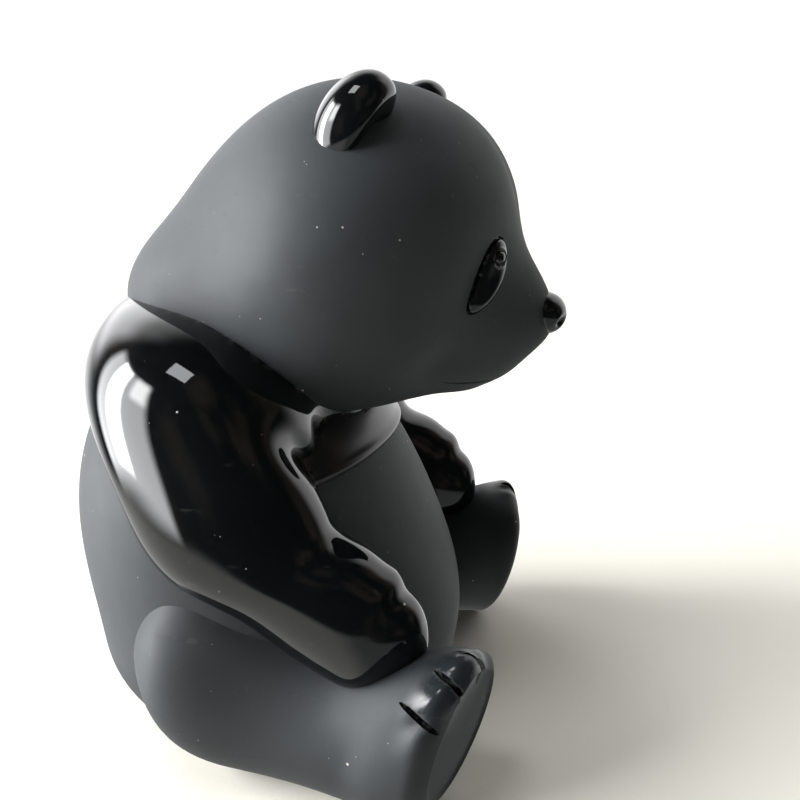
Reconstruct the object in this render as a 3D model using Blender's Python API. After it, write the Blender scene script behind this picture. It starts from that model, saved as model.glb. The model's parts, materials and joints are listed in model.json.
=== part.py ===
"""A sitting panda carved from one piece of black stone.

The carving faces -Y and stands on its flat underside at Z = 0, with the middle of its box over the origin.
Its forms are laid out in shares of its height: x to the panda's left, f forward and z up.
"""

import math

import bmesh
import bpy
import numpy as np
from mathutils import Matrix, Vector

# Driving sizes, in metres
HEIGHT = 0.100
CLAW_GROOVE_WIDTH = 0.0011
CLAW_GROOVE_DEPTH = 0.0013
EYE_PATCH_RAISE = 0.0010

# The layout's unit: the ears' tips stand at EAR_TIP of it
EAR_TIP = 0.977
UNIT = HEIGHT / EAR_TIP

# Head: the outline in the middle plane, as angle up from forward and distance from the head's middle.
# The half width narrows by the taper's share round its place, which is how far forward a direction points.
HEAD_MIDDLE = (0.0, 0.045, 0.735)
HEAD_HALF_WIDTH = 0.272
HEAD_TAPER_PLACE = -0.60
HEAD_TAPER_SPREAD = 0.45
HEAD_TAPER_SHARE = 0.15
HEAD_OUTLINE = (
    (0, 0.258),
    (28, 0.272),
    (59, 0.252),
    (90, 0.229),
    (122, 0.212),
    (150, 0.216),
    (172, 0.252),
    (190, 0.315),
    (210, 0.325),
    (240, 0.270),
    (270, 0.245),
    (300, 0.248),
    (315, 0.254),
    (330, 0.250),
)
MUZZLE_LENGTH = 0.080
MUZZLE_ANGLE = -25.0
MUZZLE_SPREAD = 21.0

# Torso: height, front, back and half width of each level
TORSO_LEVELS = (
    (-0.16, -0.02, -0.08, 0.030),
    (-0.10, 0.12, -0.20, 0.180),
    (0.00, 0.20, -0.27, 0.245),
    (0.08, 0.225, -0.330, 0.282),
    (0.15, 0.235, -0.347, 0.296),
    (0.30, 0.20, -0.364, 0.298),
    (0.45, 0.125, -0.344, 0.268),
    (0.60, 0.03, -0.27, 0.190),
    (0.70, -0.05, -0.20, 0.120),
    (0.74, -0.12, -0.16, 0.030),
)

# Mantle: the band round the neck that runs down both arms. Each row is the run from the middle plane,
# the section's middle, and its two half axes, all as x, f, z. The other arm is its mirror image.
MANTLE_SECTIONS = (
    (0.00, (0.0, -0.090, 0.490), (0.0, 0.228, -0.066), (0.0, 0.02, 0.135)),
    (0.20, (0.12, -0.088, 0.510), (0.0, 0.212, -0.054), (0.05, 0.015, 0.150)),
    (0.38, (0.205, -0.085, 0.490), (0.0, 0.168, -0.01), (0.105, -0.005, 0.108)),
    (0.52, (0.245, -0.06, 0.43), (0.0, 0.138, 0.02), (0.10, 0.0, 0.04)),
    (0.64, (0.262, -0.02, 0.368), (0.0, 0.123, 0.043), (0.09, 0.0, 0.0)),
    (0.76, (0.268, 0.045, 0.32), (0.0, 0.097, 0.062), (0.08, 0.0, 0.0)),
    (0.88, (0.268, 0.125, 0.272), (0.0, 0.065, 0.067), (0.07, 0.0, 0.0)),
    (1.00, (0.262, 0.215, 0.21), (0.0, 0.05, 0.052), (0.055, 0.0, 0.0)),
)
HAND_ROUNDING = 0.12

# Broad relief on each arm: run, angle round it in degrees from its front, the spread of each, and the height
ARM_RELIEF = (
    (0.050, 132, 0.130, 19, 0.032),
    (0.080, 168, 0.130, 20, -0.014),
    (0.080, 205, 0.130, 24, 0.016),
    (0.690, 0, 0.070, 45, -0.012),
    (0.750, 165, 0.100, 50, -0.024),
    (0.955, 140, 0.040, 38, 0.016),
)

# Legs: the run from haunch to sole, the section's middle, its half height, forward lean and half width
LEG_SECTIONS = (
    (0.00, (0.172, -0.208, 0.162), 0.146, 0.0, 0.130),
    (0.25, (0.200, -0.10, 0.168), 0.166, 0.0, 0.145),
    (0.50, (0.232, 0.01, 0.138), 0.136, 0.0, 0.116),
    (0.72, (0.260, 0.13, 0.106), 0.106, 0.010, 0.092),
    (0.86, (0.280, 0.210, 0.120), 0.122, 0.022, 0.098),
    (1.00, (0.288, 0.290, 0.130), 0.132, 0.031, 0.105),
)
TOE_OUT = 20.0
HAUNCH_ROUNDING = 0.30
SOLE_ROUNDING = 0.07

# Claw grooves: where each starts and ends on the foot, as run along the leg and angle round it from the top
CLAW_GROOVES = (((0.86, 43), (0.975, 63)), ((0.90, 20), (0.988, 32)), ((0.93, 2), (0.993, -14)))

# Ears and nose: the middle, then the three half axes, as x, f, z. An ear's last axis points out of its front,
# which is flatter than its back, and the left ear is set a little lower and further forward.
EAR = ((0.162, 0.114, 0.915), (0.0470, -0.0014, 0.0114), (-0.0130, 0.0355, 0.0560), (0.0070, 0.0395, -0.0230))
EAR_FRONT = 0.80
EAR_DISH = 0.25
LEFT_EAR_SHIFT = (0.0, 0.018, -0.012)
NOSE = ((0.0, 0.352, 0.645), (0.036, 0.0, 0.0), (0.0, 0.031, 0.006), (0.0, -0.006, 0.030))

# Eye patches: angles in degrees out from the middle plane and up from forward, and the half sizes round them
EYE_PATCH_OUT = 25.5
EYE_PATCH_UP = -5.0
EYE_PATCH_TILT = 27.0
EYE_PATCH_HALF_LENGTH = 12.6
EYE_PATCH_HALF_WIDTH = 5.4


def to_world(points):
    """Layout coordinates x, f, z as world metres."""
    points = np.asarray(points, float)
    return UNIT * np.stack([points[..., 0], -points[..., 1], points[..., 2]], axis=-1)


def smooth_rows(keys, at):
    """A natural cubic spline through rows of (position, values...), read at each position in at."""
    keys = np.asarray(keys, float)
    knots, rows = keys[:, 0], keys[:, 1:]
    count, gaps = len(knots), np.diff(knots)
    system, right = np.eye(count), np.zeros_like(rows)
    for i in range(1, count - 1):
        system[i, i - 1 : i + 2] = gaps[i - 1], 2 * (gaps[i - 1] + gaps[i]), gaps[i]
        right[i] = 6 * ((rows[i + 1] - rows[i]) / gaps[i] - (rows[i] - rows[i - 1]) / gaps[i - 1])
    bend = np.linalg.solve(system, right)
    at = np.asarray(at, float)
    i = np.clip(np.searchsorted(knots, at) - 1, 0, count - 2)
    before, after = (knots[i + 1] - at)[..., None], (at - knots[i])[..., None]
    gap = gaps[i][..., None]
    curve = (bend[i] * before**3 + bend[i + 1] * after**3) / (6 * gap)
    return curve + (rows[i] / gap - bend[i] * gap / 6) * before + (rows[i + 1] / gap - bend[i + 1] * gap / 6) * after


def head_points(directions):
    """The head's surface in each direction from its middle.

    The outline sets the distance in the middle plane, an ellipse carries it out to the half width,
    and the muzzle is a rounded swelling round its own angle. A bell curve narrows the half width
    behind the cheeks.
    """
    outline = np.array(HEAD_OUTLINE, float)
    wrapped = np.concatenate([outline[-3:] - (360, 0), outline, outline[:3] + (360, 0)])
    side = directions[:, 0]
    angle = np.degrees(np.arctan2(directions[:, 2], directions[:, 1])) % 360
    middle = smooth_rows(wrapped, angle)[:, 0]
    narrowed = np.exp(-(((directions[:, 1] - HEAD_TAPER_PLACE) / HEAD_TAPER_SPREAD) ** 2))
    wide = HEAD_HALF_WIDTH * (1 - HEAD_TAPER_SHARE * narrowed)
    distance = 1 / np.sqrt((1 - side**2) / middle**2 + side**2 / wide**2)
    off_muzzle = (angle - MUZZLE_ANGLE + 180) % 360 - 180
    off_middle = np.degrees(np.arcsin(np.clip(side, -1, 1)))
    swelling = np.exp(-((off_muzzle / MUZZLE_SPREAD) ** 2) - (off_middle / MUZZLE_SPREAD) ** 2)
    distance = distance + MUZZLE_LENGTH * swelling
    return np.array(HEAD_MIDDLE) + directions * distance[:, None]


def rounded_ends(run, start, end):
    """How far a section is drawn in along the run: quarter ellipses of these lengths at its two ends."""
    drawn = np.ones_like(run)
    if start > 0:
        drawn = np.where(run < start, np.sqrt(np.clip(1 - (1 - run / start) ** 2, 0, 1)), drawn)
    return np.where(run > 1 - end, np.sqrt(np.clip(1 - ((run - 1 + end) / end) ** 2, 0, 1)), drawn)


def relief(table, run, angle):
    """The sum of bell-shaped swellings and hollows, each with its own place, spreads and height."""
    total = 0.0
    for place, turn, spread, turn_spread, height in table:
        off_turn = (angle - turn + 180) % 360 - 180
        total = total + height * np.exp(-(((run - place) / spread) ** 2) - (off_turn / turn_spread) ** 2)
    return total


def mantle_rings(run, angles):
    """Rings of the mantle at each run: -1 is the right hand, 0 the middle plane and 1 the left hand."""
    rows = [(run_key, *middle, *along, *across) for run_key, middle, along, across in MANTLE_SECTIONS]
    flip = np.array([-1, -1, 1, 1, -1, 1, 1, -1, 1, 1])
    keys = np.concatenate([(np.array(rows) * flip)[:0:-1], np.array(rows)])
    values = smooth_rows(keys, run)
    drawn = rounded_ends(np.abs(run), 0, HAND_ROUNDING)[:, None, None]
    middle, along, across = values[:, None, 0:3], values[:, None, 3:6], values[:, None, 6:9]
    turn = angles[None, :, None]
    spoke = along * np.cos(turn) + across * np.sin(turn)
    swelling = relief(ARM_RELIEF, np.abs(run)[:, None], np.degrees(angles)[None])[..., None]
    return middle + spoke * (1 + swelling / np.linalg.norm(spoke, axis=-1, keepdims=True)) * drawn


def leg_rings(run, angles, side):
    """Rings of one leg at each run: 0 is the haunch and 1 the sole. Side is 1 on the left, -1 on the right."""
    out_x, out_f = math.cos(math.radians(TOE_OUT)), -math.sin(math.radians(TOE_OUT))
    rows = [
        (run_key, *middle, 0, lean, tall, wide * out_x, wide * out_f, 0)
        for run_key, middle, tall, lean, wide in LEG_SECTIONS
    ]
    values = smooth_rows(rows, run)
    drawn = rounded_ends(run, HAUNCH_ROUNDING, SOLE_ROUNDING)[:, None]
    middle, up, out = values[:, 0:3], values[:, 3:6] * drawn, values[:, 6:9] * drawn
    turn = angles[None, :, None]
    rings = middle[:, None] + up[:, None] * np.cos(turn) + out[:, None] * np.sin(turn)
    return rings * (side, 1, 1)


def torso_rings(levels, angles):
    """Rings of the torso at each level, as ellipses between its front, back and half width."""
    front, back, wide = smooth_rows(TORSO_LEVELS, levels).T[..., None]
    middle, deep = (front + back) / 2, (front - back) / 2
    forward = middle + deep * np.cos(angles)
    return np.stack([wide * np.sin(angles), forward, levels[:, None] + 0 * angles], axis=-1)


def ear_rings(side, steps, angles):
    """Rings from the middle of an ear's back, half an ellipsoid, round its rim to its flatter, dished front."""
    turn = np.linspace(0, math.pi, steps + 2)[1:-1, None]
    share, through = np.sin(turn), -np.cos(turn)
    front = EAR_FRONT * np.sqrt(1 - share**4) - EAR_DISH * (1 - share**2) ** 1.5
    through = np.where(through > 0, front, through)
    middle, across, tall, out = (np.array(row) for row in EAR)
    middle = middle + np.array(LEFT_EAR_SHIFT) * (side > 0)
    flat = across * (share * np.cos(angles))[..., None] + tall * (share * np.sin(angles))[..., None]
    return (middle + flat + out * (through + 0 * angles)[..., None]) * (side, 1, 1)


def full_turn(sides):
    return np.arange(sides) * 2 * math.pi / sides


def eased(steps, start, end):
    """Positions from 0 to 1, closer together where the two ends are rounded over these lengths."""
    ease = np.linspace(0, math.pi / 2, steps)
    inner = np.linspace(start, 1 - end, max(3, round(2.2 * steps)))
    pieces = [start * (1 - np.cos(ease))[:-1], inner, 1 - end * (1 - np.cos(ease))[-2::-1]]
    return np.concatenate(pieces[1:] if start == 0 else pieces)


def new_object(name, mesh, material, collection):
    mesh.materials.append(material)
    mesh.shade_smooth()
    body = bpy.data.objects.new(name, mesh)
    collection.objects.link(body)
    return body


def facing_out(shape, name):
    """The shape as a mesh whose faces point outwards."""
    bmesh.ops.recalc_face_normals(shape, faces=shape.faces)
    mesh = bpy.data.meshes.new(name)
    shape.to_mesh(mesh)
    shape.free()
    return mesh


def loft(name, rings, material, collection):
    """A closed skin over rings of points, drawn to one point at each end."""
    shape = bmesh.new()
    rows = [[shape.verts.new(point) for point in ring] for ring in to_world(rings)]
    ends = [shape.verts.new(to_world(ring).mean(axis=0)) for ring in (rings[0], rings[-1])]
    for lower, upper in zip(rows, rows[1:]):
        for i in range(len(lower)):
            shape.faces.new((lower[i - 1], lower[i], upper[i], upper[i - 1]))
    for row, end in ((rows[0], ends[0]), (rows[-1], ends[1])):
        for i in range(len(row)):
            shape.faces.new((row[i - 1], row[i], end))
    return new_object(name, facing_out(shape, name), material, collection)


def ellipsoid(name, middle, axes, sides, material, collection):
    """A UV sphere stretched along three half axes, given as layout coordinates."""
    shape = bmesh.new()
    bmesh.ops.create_uvsphere(shape, u_segments=sides, v_segments=sides * 2 // 3, radius=1)
    columns = Matrix([to_world(axis) for axis in axes]).transposed()
    placed = Matrix.Translation(Vector(to_world(middle))) @ columns.to_4x4()
    bmesh.ops.transform(shape, matrix=placed, verts=shape.verts)
    return new_object(name, facing_out(shape, name), material, collection)


def make_head(material, collection):
    """A UV sphere with its poles at the cheeks, each point moved out to the head's surface."""
    shape = bmesh.new()
    bmesh.ops.create_uvsphere(shape, u_segments=52, v_segments=30, radius=1)
    bmesh.ops.rotate(shape, matrix=Matrix.Rotation(math.radians(90), 3, "Y"), verts=shape.verts)
    directions = np.array([point.co for point in shape.verts])
    for point, place in zip(shape.verts, to_world(head_points(directions / np.linalg.norm(directions, axis=1)[:, None]))):
        point.co = place
    return new_object("head", facing_out(shape, "head"), material, collection)


def unit(vector):
    return vector / np.linalg.norm(vector)


def groove_cutter(name, start, end, outward, width, depth, collection, material):
    """A thin lens lying from start to end in the surface, cutting to this depth below its middle."""
    start, end, outward = np.array(start), np.array(end), np.array(outward)
    along = (end - start) / 2
    outward = unit(outward - unit(along) * np.dot(outward, unit(along)))
    across = np.cross(unit(along), outward)
    tall = 2.2 * depth / UNIT
    middle = (start + end) / 2 + outward * (tall - depth / UNIT)
    axes = (along * 1.1, outward * tall, across * width / 2 / UNIT)
    return ellipsoid(name, middle, axes, 18, material, collection)


def make_grooves(material, collection):
    """Three claw grooves over the toes of each foot."""
    for side, side_name in ((1, "left"), (-1, "right")):
        for i, (start, end) in enumerate(CLAW_GROOVES):
            middle = (start[0] + 0.6 * (end[0] - start[0]), (start[1] + end[1]) / 2)
            places = [leg_rings(np.array([run]), np.radians([turn]), side)[0, 0] for run, turn in (start, middle, end)]
            chord = (places[0] + places[2]) / 2
            outward = places[1] - chord
            sag = np.linalg.norm(outward)
            groove_cutter(
                f"{side_name}_claw_groove_{i + 1}",
                places[0] + outward * 0.6,
                places[2] + outward * 0.6,
                outward / sag,
                CLAW_GROOVE_WIDTH,
                CLAW_GROOVE_DEPTH,
                collection,
                material,
            )


def make_floor(material, collection):
    """A block whose top is the floor, to cut the underside flat."""
    shape = bmesh.new()
    bmesh.ops.create_cube(shape, size=1)
    bmesh.ops.scale(shape, vec=(2 * UNIT, 2 * UNIT, UNIT), verts=shape.verts)
    bmesh.ops.translate(shape, vec=(0, 0, -UNIT / 2), verts=shape.verts)
    return new_object("floor_block", facing_out(shape, "floor_block"), material, collection)


def eye_patch_rings(side, sides):
    """Rings of a thin lens that follows the head: over its raised face to the rim, then back beneath."""
    turn = full_turn(sides)
    tilt = math.radians(EYE_PATCH_TILT)
    rings = []
    for share, height in ((0.35, 1.0), (0.75, 0.9), (0.94, 0.6), (1.0, 0.0), (0.9, -1.0), (0.4, -1.0)):
        long_way = share * EYE_PATCH_HALF_LENGTH * np.cos(turn)
        short_way = share * EYE_PATCH_HALF_WIDTH * np.sin(turn)
        out = np.radians(EYE_PATCH_OUT - long_way * math.sin(tilt) + short_way * math.cos(tilt))
        up = np.radians(EYE_PATCH_UP + long_way * math.cos(tilt) + short_way * math.sin(tilt))
        directions = np.stack([np.sin(out), np.cos(out) * np.cos(up), np.cos(out) * np.sin(up)], axis=1)
        rings.append(head_points(directions) + directions * height * EYE_PATCH_RAISE / UNIT)
    return np.array(rings) * (side, 1, 1)


def make_face(material, collection):
    """The nose, and an oval patch round each eye, raised a little from the head."""
    ellipsoid("nose", NOSE[0], NOSE[1:], 18, material, collection)
    for side, side_name in ((1, "left"), (-1, "right")):
        loft(f"{side_name}_eye_patch", eye_patch_rings(side, 24), material, collection)


def stone():
    material = bpy.data.materials.new("black_stone")
    material.use_nodes = True
    shader = material.node_tree.nodes["Principled BSDF"]
    shader.inputs["Base Color"].default_value = (0.028, 0.030, 0.032, 1)
    shader.inputs["Roughness"].default_value = 0.40
    shader.inputs["Metallic"].default_value = 0.0
    return material


def new_collection(name):
    made = bpy.data.collections.new(name)
    bpy.context.scene.collection.children.link(made)
    return made


def main():
    for left_over in list(bpy.data.objects):
        bpy.data.objects.remove(left_over, do_unlink=True)
    material = stone()
    carving, forms, cutters = (new_collection(name) for name in ("panda", "panda_forms", "panda_cutters"))

    levels = np.linspace(TORSO_LEVELS[0][0], TORSO_LEVELS[-1][0], 26)
    torso = loft("panda_carving", torso_rings(levels, full_turn(44)), material, carving)

    make_head(material, forms)
    half_run = eased(6, 0, HAND_ROUNDING)
    mantle_run = np.concatenate([-half_run[:0:-1], half_run])
    loft("mantle", mantle_rings(mantle_run, full_turn(34)), material, forms)
    leg_run = eased(6, HAUNCH_ROUNDING, SOLE_ROUNDING)
    for side, side_name in ((1, "left"), (-1, "right")):
        loft(f"{side_name}_leg", leg_rings(leg_run[1:-1], full_turn(28), side), material, forms)
        loft(f"{side_name}_ear", ear_rings(side, 13, full_turn(22)), material, forms)
    make_face(material, forms)
    make_grooves(material, cutters)
    make_floor(material, cutters)

    for name, operation, operands in (("Join the forms", "UNION", forms), ("Cut", "DIFFERENCE", cutters)):
        joined = torso.modifiers.new(name, "BOOLEAN")
        joined.operation = operation
        joined.solver = "EXACT"
        joined.operand_type = "COLLECTION"
        joined.collection = operands
    for helper in [*forms.objects, *cutters.objects]:
        helper.hide_render = True
        helper.display_type = "WIRE"

    # The middle of the carving's box stands over the origin
    bpy.context.view_layer.update()
    corners = np.array(torso.evaluated_get(bpy.context.evaluated_depsgraph_get()).bound_box)
    set_back = (corners[:, 1].min() + corners[:, 1].max()) / 2
    for body in [torso, *forms.objects, *cutters.objects]:
        body.location.y = -set_back


if __name__ == "__main__":
    main()
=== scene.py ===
"""A sitting panda carved from one black stone, frosted all over and polished on its dark markings.

It faces -Y and stands on its flat underside at Z = 0, in metres. Its forms are laid out in shares of its
height, as in the part's own source: x to the panda's left, f forward and z up.
"""

import json
import math

import bpy
import numpy as np
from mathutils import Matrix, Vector

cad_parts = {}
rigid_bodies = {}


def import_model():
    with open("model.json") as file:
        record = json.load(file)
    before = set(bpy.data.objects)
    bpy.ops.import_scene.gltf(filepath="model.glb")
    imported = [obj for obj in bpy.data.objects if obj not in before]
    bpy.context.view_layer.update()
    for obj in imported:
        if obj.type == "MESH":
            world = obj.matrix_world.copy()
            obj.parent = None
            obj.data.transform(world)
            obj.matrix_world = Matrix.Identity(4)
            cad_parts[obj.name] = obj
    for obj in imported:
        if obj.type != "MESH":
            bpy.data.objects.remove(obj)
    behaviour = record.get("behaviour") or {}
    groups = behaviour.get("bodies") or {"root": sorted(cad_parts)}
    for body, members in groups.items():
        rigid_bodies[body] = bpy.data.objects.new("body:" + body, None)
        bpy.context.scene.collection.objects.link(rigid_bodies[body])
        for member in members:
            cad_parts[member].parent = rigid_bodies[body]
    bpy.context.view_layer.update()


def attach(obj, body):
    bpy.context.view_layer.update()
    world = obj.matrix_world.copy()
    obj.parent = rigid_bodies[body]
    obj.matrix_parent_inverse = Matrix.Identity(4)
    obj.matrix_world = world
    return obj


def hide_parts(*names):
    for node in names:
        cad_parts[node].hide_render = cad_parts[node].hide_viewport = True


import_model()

bl_info = {
    "name": "Stone panda carving",
    "version": (1, 0, 0),
    "blender": (4, 5, 0),
    "location": "3D View > Sidebar > Panda",
    "description": "Carves a small sitting panda in frosted and polished black stone",
    "category": "Add Mesh",
}

# The layout's unit in metres: the ears' tips stand at EAR_TIP of it. The shift centres the carving's box.
HEIGHT = 0.100
EAR_TIP = 0.977
UNIT = HEIGHT / EAR_TIP
BACK_SHIFT = 0.000984

# Head: the outline in the middle plane, as angle up from forward and distance from the head's middle.
# The half width narrows by the taper's share round its place, which is how far forward a direction points.
HEAD_MIDDLE = (0.0, 0.045, 0.735)
HEAD_HALF_WIDTH = 0.272
HEAD_TAPER_PLACE = -0.60
HEAD_TAPER_SPREAD = 0.45
HEAD_TAPER_SHARE = 0.15
HEAD_OUTLINE = (
    (0, 0.258), (28, 0.272), (59, 0.252), (90, 0.229), (122, 0.212), (150, 0.216), (172, 0.252),
    (190, 0.315), (210, 0.325), (240, 0.270), (270, 0.245), (300, 0.248), (315, 0.254), (330, 0.250),
)
MUZZLE_LENGTH = 0.080
MUZZLE_ANGLE = -25.0
MUZZLE_SPREAD = 21.0

# Soft relief on the head, alike on both sides: out and up in degrees, the spread of each, and the height
HEAD_RELIEF = (
    (30, -38, 10, 9, -0.009),
    (12, -33, 9, 8, 0.004),
    (0, -46, 13, 5, 0.006),
    (26, -5, 11, 16, -0.003),
    (18, 16, 12, 8, 0.003),
    (0, 25, 5, 18, -0.002),
    (0, -8, 8, 7, 0.007),
    (0, -17, 9, 8, 0.015),
    (0, -29, 14, 7, -0.006),
)

# Torso: height, front, back and half width of each level
TORSO_LEVELS = (
    (-0.16, -0.02, -0.08, 0.030),
    (-0.10, 0.12, -0.20, 0.180),
    (0.00, 0.20, -0.27, 0.245),
    (0.08, 0.225, -0.330, 0.282),
    (0.15, 0.235, -0.347, 0.296),
    (0.30, 0.20, -0.364, 0.298),
    (0.45, 0.125, -0.344, 0.268),
    (0.60, 0.03, -0.27, 0.190),
    (0.70, -0.05, -0.20, 0.120),
    (0.74, -0.12, -0.16, 0.030),
)

# Collar: the levels of its lower edge and top, how far that edge rises to the middle, how far round it
# reaches in degrees, and how far it stands out of the torso, its lip above that and its inside below.
# The lip's place and spread are shares of the way from the top to the lower edge.
COLLAR_LOW = 0.402
COLLAR_RISE = 0.044
COLLAR_TOP = 0.62
COLLAR_SPREAD = 72.0
COLLAR_HEIGHT = 0.015
COLLAR_LIP = 0.004
COLLAR_LIP_PLACE = 0.93
COLLAR_LIP_SPREAD = 0.035
COLLAR_INSIDE = 0.030
COLLAR_POLISH = -0.8

# Mantle: the band round the neck that runs down both arms. Each row is the run from the middle plane,
# the section's middle, and its two half axes, all as x, f, z. The other arm is its mirror image.
MANTLE_SECTIONS = (
    (0.00, (0.0, -0.090, 0.490), (0.0, 0.228, -0.066), (0.0, 0.02, 0.135)),
    (0.20, (0.12, -0.088, 0.510), (0.0, 0.212, -0.054), (0.05, 0.015, 0.150)),
    (0.38, (0.205, -0.085, 0.490), (0.0, 0.168, -0.01), (0.105, -0.005, 0.108)),
    (0.52, (0.245, -0.06, 0.43), (0.0, 0.138, 0.02), (0.10, 0.0, 0.04)),
    (0.64, (0.262, -0.02, 0.368), (0.0, 0.123, 0.043), (0.09, 0.0, 0.0)),
    (0.76, (0.268, 0.045, 0.32), (0.0, 0.097, 0.062), (0.08, 0.0, 0.0)),
    (0.88, (0.268, 0.125, 0.272), (0.0, 0.065, 0.067), (0.07, 0.0, 0.0)),
    (1.00, (0.262, 0.215, 0.21), (0.0, 0.05, 0.052), (0.055, 0.0, 0.0)),
)
# How much of an arm's run rounds off its paw, and over how much the relief is smoothed at the middle plane
HAND_ROUNDING = 0.12
MIDDLE_SMOOTHING = 0.045
# The mantle's front on the chest is left rougher, within this run and this many degrees round it
CHEST_RUN = 0.20
CHEST_SPREAD = 75

# Soft relief on each arm: run and angle round it in degrees, the spread of each, and the height
ARM_RELIEF = (
    (0.870, 0, 0.024, 45, 0.004),
    (0.908, 5, 0.016, 45, -0.004),
    (0.955, 0, 0.030, 50, 0.005),
    (0.955, 140, 0.040, 38, 0.016),
    (0.750, 165, 0.100, 50, -0.024),
    (0.690, 0, 0.070, 45, -0.012),
    (0.050, 132, 0.130, 19, 0.032),
    (0.080, 168, 0.130, 20, -0.014),
    (0.080, 205, 0.130, 24, 0.016),
    (0.000, 335, 0.120, 45, -0.070),
    (0.220, 355, 0.110, 48, -0.070),
    (0.400, 0, 0.080, 42, -0.030),
)

# Legs: the run from haunch to sole, the section's middle, its half height, forward lean and half width
LEG_SECTIONS = (
    (0.00, (0.172, -0.208, 0.162), 0.146, 0.0, 0.130),
    (0.25, (0.200, -0.10, 0.168), 0.166, 0.0, 0.145),
    (0.50, (0.232, 0.01, 0.138), 0.136, 0.0, 0.116),
    (0.72, (0.260, 0.13, 0.106), 0.106, 0.010, 0.092),
    (0.86, (0.280, 0.210, 0.120), 0.122, 0.022, 0.098),
    (1.00, (0.288, 0.290, 0.130), 0.132, 0.031, 0.105),
)
TOE_OUT = 20.0
SOLE_LEAN = 0.18
HAUNCH_ROUNDING = 0.42
SOLE_ROUNDING = 0.07
SOLE_SQUARENESS = 2.5

# The sole's recess: its rim as a share of the sole, and the power of its curve, which is steep at the rim
SOLE_RIM = 0.77
SOLE_EDGE = 0.45

# Soft relief on each leg, in the same terms: the toes stand up between the claw grooves
LEG_RELIEF = (
    (0.940, 73, 0.040, 11, 0.004),
    (0.945, 41, 0.045, 11, 0.005),
    (0.950, 10, 0.045, 11, 0.002),
    (0.970, -24, 0.060, 18, -0.009),
    (0.930, 57, 0.035, 5, -0.004),
    (0.945, 26, 0.035, 5, -0.004),
    (0.955, -6, 0.035, 5, -0.004),
    (0.780, 95, 0.050, 30, -0.004),
    (0.270, 80, 0.120, 50, 0.008),
    (0.550, 85, 0.100, 45, -0.004),
    (0.150, 0, 0.140, 50, 0.012),
)

# Claw grooves, from the outer one to the inner: the run and the angle in degrees at three stops along each
CLAW_GROOVES = (
    ((0.865, 44), (0.925, 55), (0.970, 62)),
    ((0.902, 20), (0.950, 29), (0.985, 33)),
    ((0.928, 2), (0.965, -2), (0.992, -16)),
)

# Polish over the toes: the run where it starts, the runs over which it comes and goes again at the sole,
# and its middle and spread round the leg in degrees
TOE_POLISH_START = 0.87
TOE_POLISH_EASE = 0.05
SOLE_POLISH_EASE = 0.02
TOE_POLISH_ANGLE = 22
TOE_POLISH_SPREAD = 42

# The mouth: angles in degrees out from the middle plane and up from forward, from the middle to a corner
MOUTH_LINE = ((0, -34.5), (6, -36.0), (12, -39.5), (18, -43.0), (22, -44.5))

# Ears and nose: the middle, then the three half axes, as x, f, z. The ear's last axis points out of its
# front, which is this share as thick as its back.
EAR = (
    (0.162, 0.114, 0.915),
    (0.0470, -0.0014, 0.0114),
    (-0.0130, 0.0355, 0.0560),
    (0.0070, 0.0395, -0.0230),
)
EAR_FRONT = 0.80
LEFT_EAR_SHIFT = (0.0, 0.018, -0.012)
NOSE = ((0.0, 0.352, 0.645), (0.036, 0.0, 0.0), (0.0, -0.006, 0.030), (0.0, 0.031, 0.006))

# Shares of the nose's half axes: how much wider it is above, and each nostril's place, spread and depth
NOSE_FLARE = 0.14
NOSTRIL_OUT = 0.45
NOSTRIL_DOWN = 0.42
NOSTRIL_SPREAD = 0.20
NOSTRIL_DEPTH = 0.30

# Eye patches: angles in degrees out from the middle plane and up from forward, the half sizes round them, how
# much wider they are at the upper end, and the eye's place along them and its radius
EYE_PATCH_OUT = 25.5
EYE_PATCH_UP = -5.0
EYE_PATCH_TILT = 27.0
EYE_PATCH_HALF_LENGTH = 12.6
EYE_PATCH_HALF_WIDTH = 5.4
EYE_PATCH_FLARE = 0.18
EYE_ALONG = 6.9
EYE_RADIUS = 2.5

# Heights on an eye patch, as shares of its own: its middle, the eyeball's radius and height, then the place
# and height of the ring sunk round it and of the raised one, and their spread. Places are in eye radii.
PATCH_MIDDLE = 0.72
EYEBALL = (0.78, 0.55)
EYE_RINGS = ((0.90, -0.42), (1.18, 0.16))
EYE_RING_SPREAD = 0.13

# How deep the patch's hidden back lies in the head, and where its groove runs, as a share of its half sizes
PATCH_INSIDE = 0.015
PATCH_GROOVE_SHARE = 1.03

# Grooves: the power by which an open one narrows and its least width as a share, then the depths of those
# round the eye patches and at the mouth as shares of their widths
GROOVE_TAPER = 2.6
GROOVE_TIP = 0.02
PATCH_GROOVE_DEPTH = 0.8
MOUTH_GROOVE_DEPTH = 0.7

# Camera: where it looks in the layout, its direction in degrees, its distance in layout units, its lens and
# sensor in millimetres, and how near it sees in metres
CAMERA_AIM = (0.0, 0.14, 0.50)
CAMERA_AZIMUTH = -79.0
CAMERA_ELEVATION = 18.0
CAMERA_DISTANCE = 1.5
CAMERA_LENS = 44.325
CAMERA_SENSOR = 36
CAMERA_NEAR = 0.001

# The studio: the two dim tones of its clouds, then soft-edged bright areas, each the degrees round from
# forward towards the left, the degrees up, half the width and half the height in degrees, the softness of its
# edges, and its radiance in red, green and blue
STUDIO_DIM = (0.028, 0.031, 0.033)
STUDIO_WARM = (0.22, 0.180, 0.155)
STUDIO_CLOUD_SCALE = 1.7
STUDIO_AREAS = (
    (90, 15, 62, 42, 12, (1.5, 1.5, 1.5)),
    (138, 24, 17, 17, 8, (4.0, 4.0, 4.1)),
    (197, 6, 28, 31, 4, (8.5, 8.6, 8.7)),
    (191, 8, 9, 29, 2, (32.0, 32.2, 32.4)),
    (216, 27, 8, 10, 4, (20.0, 20.1, 20.2)),
)

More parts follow.
